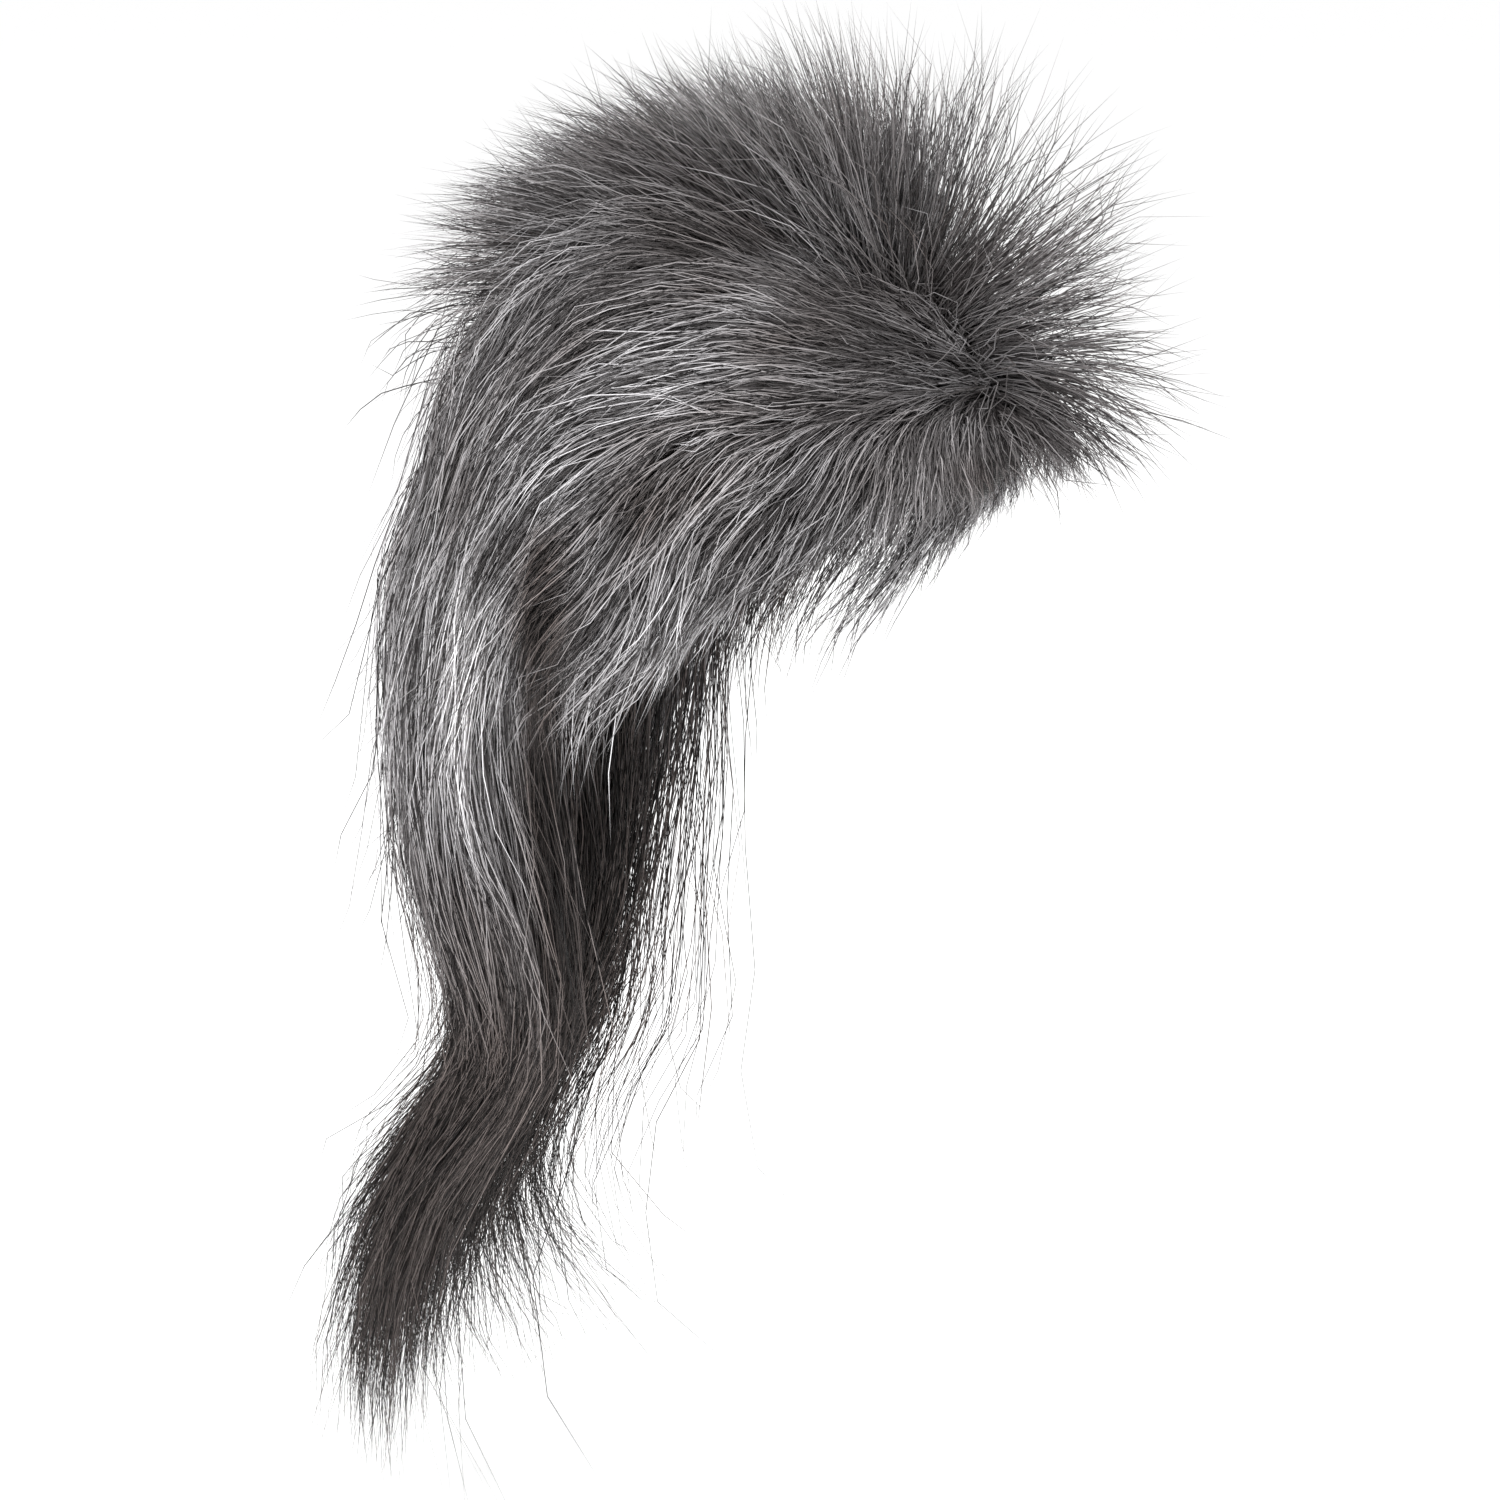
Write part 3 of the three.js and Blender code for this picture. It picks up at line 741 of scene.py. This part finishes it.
def fibre_material():
    """Salt-and-pepper fibre, driven by the tone and the shade that each strand carries."""
    material = plain_material("grey_fibre", (0.2, 0.2, 0.2), 0.42)
    nodes, links = material.node_tree.nodes, material.node_tree.links
    shader = nodes["Principled BSDF"]
    shader.inputs["Specular IOR Level"].default_value = 0.3
    tone = nodes.new("ShaderNodeAttribute")
    tone.attribute_name = "tone"
    shade = nodes.new("ShaderNodeAttribute")
    shade.attribute_name = "shade"
    wear = nodes.new("ShaderNodeTexNoise")
    wear.inputs["Scale"].default_value = 420
    wear.inputs["Detail"].default_value = 2
    speck = nodes.new("ShaderNodeMapRange")
    speck.inputs["From Min"].default_value = 0.3
    speck.inputs["From Max"].default_value = 0.7
    speck.inputs["To Min"].default_value = 0.86
    speck.inputs["To Max"].default_value = 1.14
    links.new(wear.outputs["Fac"], speck.inputs["Value"])
    lit = math_node(material, "MULTIPLY", shade.outputs["Fac"], speck.outputs["Result"])
    # The second ramp ends at one, so the shade is halved before it and the colour doubled after it
    halved = math_node(material, "MULTIPLY", lit, 0.5)
    product = nodes.new("ShaderNodeVectorMath")
    product.operation = "MULTIPLY"
    links.new(ramp_node(material, tone.outputs["Fac"], FIBRE_GREYS), product.inputs[0])
    links.new(ramp_node(material, halved, SHADE_TINTS), product.inputs[1])
    doubled = nodes.new("ShaderNodeVectorMath")
    doubled.operation = "SCALE"
    doubled.inputs["Scale"].default_value = 2
    links.new(product.outputs["Vector"], doubled.inputs[0])
    links.new(doubled.outputs["Vector"], shader.inputs["Base Color"])
    return material


fibre = fibre_material()
print(f"{fibre.name}: {len(fibre.node_tree.nodes)} nodes")

# %% [markdown]
# ## The cap
# The inside of the wig shows from the front and from below. A wig cap is a stretch net with an
# elastic hem, and the hair hangs from wefts: narrow tapes that are stitched round the cap in rows.
# The net could be cut full of holes, but at this size a relief in its material reads the same. Its
# shell follows the solid's own sizes, only with more columns, so that its edge is smooth.

# %% The net's shell
COLUMNS = 180
CAP_WALL = 1.6
CAP_ROWS = 24
CROWN_HOLE = 0.04
HEM_WIDTH = 9
around = np.linspace(-math.pi, math.pi, COLUMNS, endpoint=False)
rough_edge = edge_angle(around)
smooth_edge = sum(np.roll(rough_edge, shift) for shift in range(-4, 5)) / 9


def smooth(made):
    """Shades an object's faces smoothly."""
    made.data.polygons.foreach_set("use_smooth", [True] * len(made.data.polygons))
    return made


def band_faces(rows, columns, closed):
    """The quads between rows of points that go right round. A closed band's last row meets its first."""
    row, column = np.meshgrid(np.arange(rows if closed else rows - 1), np.arange(columns), indexing="ij")
    below = (row + 1) % rows
    beside = (column + 1) % columns
    return np.stack([
        row * columns + column,
        row * columns + beside,
        below * columns + beside,
        below * columns + column,
    ], -1).reshape(-1, 4)


def round_band(name, corners):
    """A closed band round the head. Each corner is a pair: an angle down for each column, and a lift."""
    rows = [on_head(around, angle, np.full(COLUMNS, lift))[0] for angle, lift in corners]
    return smooth(mesh_object(name, np.concatenate(rows) * MM, band_faces(len(rows), COLUMNS, True)))


def cap_shell(name, rows):
    """The net: an inner and an outer dome, closed at the crown and joined at the hem."""
    shares = np.linspace(CROWN_HOLE, 1, rows)
    inset = HEM_WIDTH * 0.5 / HALF_LENGTH
    rings = [share * (smooth_edge - inset) for share in shares]
    inner = [on_head(around, ring, np.zeros(COLUMNS))[0] for ring in rings]
    outer = [on_head(around, ring, np.full(COLUMNS, CAP_WALL))[0] for ring in rings[::-1]]
    grid = np.concatenate(inner + outer)
    top = [[0, 0, 0], [0, 0, CAP_WALL]]
    points = np.concatenate([grid, top]) * MM
    quads = band_faces(2 * rows, COLUMNS, False).tolist()
    last = (2 * rows - 1) * COLUMNS
    for column in range(COLUMNS):
        beside = (column + 1) % COLUMNS
        quads.append((beside, column, len(grid)))
        quads.append((last + column, last + beside, len(grid) + 1))
    return smooth(mesh_object(name, points, quads))


print(f"the net has {COLUMNS} columns and {CAP_ROWS} rows on each face")

# %% [markdown]
# The net, the elastic and the tapes are three dark finishes. The net is a fine honeycomb of threads,
# so its relief comes from cells about a millimetre wide. The elastic and the tapes are woven, which
# two sets of fine waves across each other give.

# %% Cap materials
def relief(material, height, distance):
    """Feeds a height into the material's normal, so that light catches it."""
    bump = material.node_tree.nodes.new("ShaderNodeBump")
    bump.inputs["Distance"].default_value = distance
    material.node_tree.links.new(height, bump.inputs["Height"])
    shader = material.node_tree.nodes["Principled BSDF"]
    material.node_tree.links.new(bump.outputs["Normal"], shader.inputs["Normal"])


def colour_by(material, value, stops):
    """Gives the shader the colour that a ramp makes of a value."""
    shader = material.node_tree.nodes["Principled BSDF"]
    material.node_tree.links.new(ramp_node(material, value, stops), shader.inputs["Base Color"])


NET_GREYS = [(0.0, (0.09, 0.085, 0.083)), (0.1, (0.07, 0.066, 0.065)), (0.22, (0.012, 0.011, 0.011))]


def net_material():
    """Dark stretch net: threads round small open cells."""
    material = plain_material("stretch_net", (0.03, 0.028, 0.028), 0.8)
    nodes, links = material.node_tree.nodes, material.node_tree.links
    place = nodes.new("ShaderNodeNewGeometry")
    cells = nodes.new("ShaderNodeTexVoronoi")
    cells.feature = "DISTANCE_TO_EDGE"
    cells.inputs["Scale"].default_value = 620
    cells.inputs["Randomness"].default_value = 0.35
    links.new(place.outputs["Position"], cells.inputs["Vector"])
    colour_by(material, cells.outputs["Distance"], NET_GREYS)
    relief(material, math_node(material, "SUBTRACT", 0.3, cells.outputs["Distance"]), 0.0012)
    nodes["Principled BSDF"].inputs["Sheen Weight"].default_value = 0.3
    return material


def woven_material(name, colour, scale):
    """Woven tape or elastic: fine ribs one way, crossed by finer ones."""
    material = plain_material(name, colour, 0.7)
    nodes, links = material.node_tree.nodes, material.node_tree.links
    place = nodes.new("ShaderNodeNewGeometry")
    ribs = []
    for direction, size in (("Z", scale), ("DIAGONAL", scale * 1.7)):
        wave = nodes.new("ShaderNodeTexWave")
        wave.bands_direction = direction
        wave.inputs["Scale"].default_value = size
        wave.inputs["Distortion"].default_value = 0.6
        links.new(place.outputs["Position"], wave.inputs["Vector"])
        ribs.append(wave)
    weave = math_node(material, "MULTIPLY", ribs[0].outputs["Fac"], ribs[1].outputs["Fac"])
    dark = tuple(0.45 * value for value in colour)
    light = tuple(1.5 * value for value in colour)
    colour_by(material, weave, [(0.0, dark), (0.8, light)])
    relief(material, weave, 0.0005)
    nodes["Principled BSDF"].inputs["Sheen Weight"].default_value = 0.25
    return material


net = net_material()
elastic = woven_material("hem_elastic", (0.05, 0.047, 0.046), 420)
tape = woven_material("weft_tape", (0.11, 0.105, 0.1), 520)
thread = woven_material("sewing_thread", (0.2, 0.19, 0.18), 900)
print("cap finishes:", ", ".join(finish.name for finish in (net, elastic, tape, thread)))

# %% [markdown]
# The hem is an elastic band folded over the net's edge, with ribs that run along it. The wefts lie
# inside the net as closed bands, closer together towards the nape, where most of the hair hangs. Each
# band follows a fixed share of the way from the crown to the hem, so all of them follow the cut.

# %% Net, hem and wefts
def join_wig(piece, material, node):
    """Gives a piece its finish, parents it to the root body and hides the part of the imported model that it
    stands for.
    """
    piece.data.materials.append(material)
    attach(piece, "root")
    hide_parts(node)
    return piece


RIBS = 4
WEFT_WIDTH = 4.5
WEFT_THICKNESS = 0.7
WEFT_SHARES = [0.16, 0.28, 0.39, 0.49, 0.58, 0.66, 0.74, 0.81, 0.88]
RIB_DEPTH = 0.5

# A millimetre along the head, as an angle down from the crown
PER_MM = 1 / HALF_LENGTH


def hem_band():
    """The elastic: folded over the net's edge, smooth inside and ribbed outside."""
    corners = [
        (smooth_edge - HEM_WIDTH * PER_MM, -0.1),
        (smooth_edge - 0.8 * PER_MM, -0.1),
        (smooth_edge - 0.2 * PER_MM, 0.5),
        (smooth_edge, 1.4),
        (smooth_edge - 0.2 * PER_MM, 2.3),
    ]
    for rib in range(2 * RIBS + 1):
        down = 1 + (HEM_WIDTH - 1.6) * rib / (2 * RIBS)
        corners.append((smooth_edge - down * PER_MM, HEM_WALL - RIB_DEPTH * (rib % 2)))
    corners.append((smooth_edge - HEM_WIDTH * PER_MM, CAP_WALL))
    return round_band("cap_hem", corners)


def weft_band(number, share):
    """A narrow tape inside the net, at a share of the way from the crown to the hem."""
    middle = share * smooth_edge
    half = WEFT_WIDTH / 2 * PER_MM
    corners = [
        (middle - half, 0.1),
        (middle - half, -0.6),
        (middle, -WEFT_THICKNESS),
        (middle + half, -0.6),
        (middle + half, 0.1),
    ]
    return round_band(f"weft_{number}", corners)


join_wig(cap_shell("cap_net", CAP_ROWS), net, "wig_cap")
join_wig(hem_band(), elastic, "wig_cap")
wefts = [weft_band(number, at) for number, at in enumerate(WEFT_SHARES)]
print(f"{len(wefts)} wefts")

# %% [markdown]
# Many small pieces of one kind are joined into one object, which keeps the list of pieces short. The
# stitches are short tubes of their own, made by the same function as the hair: two rows along every
# weft and a zigzag along the hem.

# %% Joining and stitching
def joined(name, pieces):
    """One object made of several."""
    bpy.ops.object.select_all(action="DESELECT")
    for piece in pieces:
        piece.select_set(True)
    bpy.context.view_layer.objects.active = pieces[0]
    bpy.ops.object.join()
    pieces[0].name = name
    pieces[0].data.name = name
    return pieces[0]


join_wig(joined("cap_wefts", wefts), tape, "wig_cap")

# %% Stitches
STITCH_ARCH = 0.25
STITCH_LENGTH = 4.2
STITCH_OFF_MIDDLE = 1.3
ZIGZAG_LENGTH = 3.0
ZIGZAG_SWING = 1.6
THREAD_RADIUS = 0.28


def stitch_row(angle, lift, length, swing):
    """Short stitches round the head, at an angle down for each column, swung from side to side if wished."""
    full = np.concatenate([around, [math.pi]])
    level = np.concatenate([angle, angle[:1]])
    path = on_head(full, level, np.full(len(full), lift))[0]
    travelled = np.concatenate([[0], np.cumsum(np.linalg.norm(np.diff(path, axis=0), axis=-1))])
    count = int(travelled[-1] / length)
    starts = np.arange(count) * travelled[-1] / count
    side = np.where(np.arange(count) % 2, swing, -swing) * PER_MM
    ends = []
    for place, shift in ((0.08, -side), (0.5, 0 * side), (0.92, side)):
        turned = np.interp(starts + place * length, travelled, full)
        down = np.interp(starts + place * length, travelled, level) + shift
        raised = lift + (STITCH_ARCH if place == 0.5 else 0) * math.copysign(1, lift)
        ends.append(on_head(turned, down, np.full(count, raised))[0])
    return np.stack(ends, 1)


seams = []
for at in WEFT_SHARES:
    for off in (-STITCH_OFF_MIDDLE, STITCH_OFF_MIDDLE):
        seams.append(stitch_row(at * smooth_edge + off * PER_MM, -WEFT_THICKNESS, STITCH_LENGTH, 0.0))
seams.append(stitch_row(smooth_edge - HEM_WIDTH * 0.5 * PER_MM, -0.3, ZIGZAG_LENGTH, ZIGZAG_SWING))
stitches = np.concatenate(seams)
even = np.ones(len(stitches))
sewn = strand_mesh("cap_stitches", stitches, THREAD_RADIUS * even, 0.5 * even, np.ones((len(stitches), 3)))
join_wig(sewn, thread, "wig_cap")

# %% [markdown]
# ## Every strand of the wig
# The lengths follow the cut: a hand's breadth along the crest, shorter at the fringe, down to the ear
# at the sides, and over thirty centimetres at the nape. A good part of the hair is cut in layers, so
# that short ends show all over. The hair stands only along a ridge, which is narrow at the front and
# wide behind, and the rest lies. Some hairs are loose, and a few flick out near their tips.

# %% Lengths and layers
LOOSE_SHARE = 0.16
FLICK_SHARE = 0.12

# The length of the hair at the sides, at degrees round from the face, and at the back, at degrees down
SIDE_ROUNDS = [0, 25, 45, 60, 80]
SIDE_LENGTHS = [44, 46, 56, 72, 106]
BACK_ANGLES = [20, 40, 58, 77, 99, 110, 128]
BACK_LENGTHS = [200, 218, 253, 296, 312, 328, 320]

# The ridge that stands, from front to back: full as far as one distance from the middle, gone at the other
RIDGE_AT = [-0.9, -0.6, -0.2, 0.2]
RIDGE_FROM = [2, 4, 14, 24]
RIDGE_TO = [18, 25, 42, 50]


def strand_values(round_angle, angle, root, rng):
    """Everything that sets one strand apart from its neighbours."""
    count = len(root)
    turned = np.degrees(np.abs(round_angle))
    aside = np.abs(root[:, 0])
    share = root[:, 1] / HALF_LENGTH
    fringe = (root[:, 2] < -FRINGE_DROP) & (aside < FRINGE_HALF_WIDTH) & (root[:, 1] < 0)
    ridge = 1 - ease(aside, np.interp(share, RIDGE_AT, RIDGE_FROM), np.interp(share, RIDGE_AT, RIDGE_TO))
    upright = ridge * (1 - ease(share, 0.42, 0.95)) * np.where(fringe, 0.5, 1)
    standing = rng.random(count) < upright
    stand = np.where(standing, mix(0.5, 1, ridge), 0)
    side_length = np.interp(turned, SIDE_ROUNDS, SIDE_LENGTHS)
    long_length = np.interp(np.degrees(angle), BACK_ANGLES, BACK_LENGTHS)
    lying_length = mix(side_length, long_length, ease(turned, 104, 121))
    crest_length = np.interp(share, CREST_ROOTS, CREST_LENGTHS) * (1 + 0.17 * waves(root, 20, 3))
    full_length = np.where(standing, crest_length, lying_length)
    layered = rng.random(count) < np.where(standing, 0.38, np.where(root[:, 2] < -80, 0.32, 0.5))
    length = full_length * np.where(layered, rng.uniform(0.36, 0.82, count), rng.uniform(0.84, 1.05, count))
    layer = np.where(layered, rng.uniform(0.6, 1.15, count), rng.uniform(0.1, 1.1, count))
    loose = rng.random(count) < LOOSE_SHARE
    low = ease(-root[:, 2], 20, 110)
    flick = rng.uniform(0.2, 0.6, count) + low * rng.uniform(0, 0.5, count)
    lift = np.where(loose, flick, rng.uniform(0, 0.22, count))
    return {
        "length": length,
        "stand": stand,
        "layer": layer,
        "tip_layer": layer + lift,
        "flick": np.where(rng.random(count) < FLICK_SHARE, rng.uniform(0.4, 1.6, count), 0),
        "rooted": 0.95 * (1 - ease(np.linalg.norm(root - WHORL, axis=-1), 16, 60)),
        "swirl": rng.normal(0, 0.13, count),
        "bend": np.where(loose, 0.3, 0.1),
        "sag": np.where(fringe, 0.3, 0.25) * rng.uniform(0.3, 1.6, count),
    }


# %% [markdown]
# The hair is darker along the crest and towards the tail's end, and lighter over the sides and the upper
# back. The tone is one number for a whole strand, and the shade goes on changing along it. Behind the
# ear, where the side hair meets the back hair, a valley is darkened by painted shade, with a band beside
# it lightened by a painted highlight. Lamps alone would not show them, because light reaches into loose
# hair from all sides.

# %% Tones and shades
DARK_SHARE = 0.37
MIDDLE_SHARE = 0.27


def crest_share(root):
    """From 1 on the crest to 0 at the sides and behind."""
    return (1 - ease(np.abs(root[:, 0]), 24, 60)) * (1 - ease(root[:, 1] / HALF_LENGTH, 0.0, 0.6))


def strand_tones(root, strand, rng):
    """How light each strand is: a mix of three greys, shifted by where the strand lies."""
    count = len(root)
    kind = rng.random(count)
    dark = rng.normal(0.22, 0.1, count)
    middle = rng.normal(0.56, 0.08, count)
    light = rng.normal(0.9, 0.07, count)
    tone = np.where(kind < DARK_SHARE, dark, np.where(kind < DARK_SHARE + MIDDLE_SHARE, middle, light))
    tone = mix(tone, 0.25 + 0.5 * tone, crest_share(root)) - 0.3 * (strand["flick"] > 0)
    tone = tone + 0.07 * waves(root, 34, 8) + 0.06 * waves(root, 5, 9)
    return np.clip(tone, 0, 1)


# How light the hair is, at heights over the crown in millimetres
LIGHTER_AT = [-430, -350, -300, -270, -230, -190, -130, -90]
LIGHTER_BY = [0.13, 0.16, 0.29, 0.42, 0.64, 1.06, 1.1, 0.97]

# A painted shade in the valley behind the ear and a painted highlight in the band beside it, by how far
# a point lies back and out to the side, in millimetres
VALLEY_DROPS = [90, 190, 240, 300]
VALLEY_AT = [74, 75, 67, 60]
VALLEY_WIDTH = 8
VALLEY_PAINTED_SHADE = 0.88
HIGHLIGHT_BAND_AT = 101
HIGHLIGHT_BAND_WIDTH = 13
PAINTED_HIGHLIGHT_GAIN = 0.75


def strand_shades(lines):
    """How much light each point gives back: less at the roots and low down, a painted shade in the valley
    behind the ear and a painted highlight in a band beside it.
    """
    along = np.linspace(0, 1, lines.shape[1])
    # Painted shade at the roots, deep in the hair, and painted light towards the tips, except along the
    # crest, where the tips stay darker
    at_tip = mix(1.15, 0.75, crest_share(lines[:, 0]))
    root_to_tip = mix(0.6, at_tip[:, None], along)
    low = np.interp(lines[..., 2], LIGHTER_AT, LIGHTER_BY)
    slant = 0.515 * np.abs(lines[..., 0]) + 0.857 * lines[..., 1]
    drop = -lines[..., 2]
    # Painted shade darkens the valley behind the ear, where the side hair meets the back hair
    valley = np.exp(-(((slant - np.interp(drop, VALLEY_DROPS, VALLEY_AT)) / VALLEY_WIDTH) ** 2))
    valley = valley * ease(drop, 78, 104) * (1 - ease(drop, 235, 300))
    # A painted highlight lightens a band beside the valley
    band = np.exp(-(((slant - HIGHLIGHT_BAND_AT) / HIGHLIGHT_BAND_WIDTH) ** 2))
    band = band * ease(drop, 90, 125) * (1 - ease(drop, 180, 235))
    patches = np.clip(1 + 0.22 * waves(lines, 55, 21) + 0.14 * waves(lines, 21, 22), 0.4, 1.6)
    return root_to_tip * low * (1 - VALLEY_PAINTED_SHADE * valley) * (1 + PAINTED_HIGHLIGHT_GAIN * band) * patches


# %% [markdown]
# The crest, the fringe and the sides need only a few steps each. The long hair of the back and the
# tail bends more, so it has more. A mesh of up to about two hundred thousand triangles is easy to
# handle, so the crest, which has the most strands, comes as two meshes that lie through each other.

# %% Grow all parts
FRIZZ = 1.5
THINNEST = 0.15
THICKEST = 0.27

# Wide locks first and then narrow ones: one guide in how many strands, how strong the pull is, and how
# late along the strand it comes
LOCKS = [(40, 0.35, 2.0), (6, 0.5, 1.4)]
PARTS = {
    "crest": {"node": "crest_hair", "count": 10800, "rings": 4, "meshes": 2},
    "fringe": {"node": "fringe_hair", "count": 2500, "rings": 4, "meshes": 1},
    "side_right": {"node": "side_hair_right", "count": 5000, "rings": 5, "meshes": 1},
    "side_left": {"node": "side_hair_left", "count": 5000, "rings": 5, "meshes": 1},
    "back": {"node": "back_hair", "count": 4400, "rings": 7, "meshes": 1},
    "tail": {"node": "tail_hair", "count": 4000, "rings": 8, "meshes": 1},
}


def grow_part(part, rng):
    """All the strands of one part of the hair, as one mesh or more."""
    plan = PARTS[part]
    chosen = np.flatnonzero(parts == part)[: plan["count"]]
    root = roots[chosen]
    strand = strand_values(angles[chosen, 0], angles[chosen, 1], root, rng)
    lines = trim(grow(root, strand, plan["rings"] * 2, rng), strand, rng)
    for every, strength, power in LOCKS:
        lines = gather(lines, strand, every, strength, power, rng)
    lines = frizz(lines, FRIZZ, rng)
    lines = rein_in(lift_out(lines, ROOT_LIFT))
    tone = strand_tones(root, strand, rng)
    shade = strand_shades(lines)
    radius = rng.uniform(THINNEST, THICKEST, len(root))
    for m in range(plan["meshes"]):
        pick = slice(m, None, plan["meshes"])
        label = f"{plan['node']}_strands" + (f"_{m + 1}" if plan["meshes"] > 1 else "")
        piece = strand_mesh(label, lines[pick, ::2], radius[pick], tone[pick], shade[pick, ::2])
        join_wig(piece, fibre, plan["node"])


for grown in PARTS:
    grow_part(grown, dice)
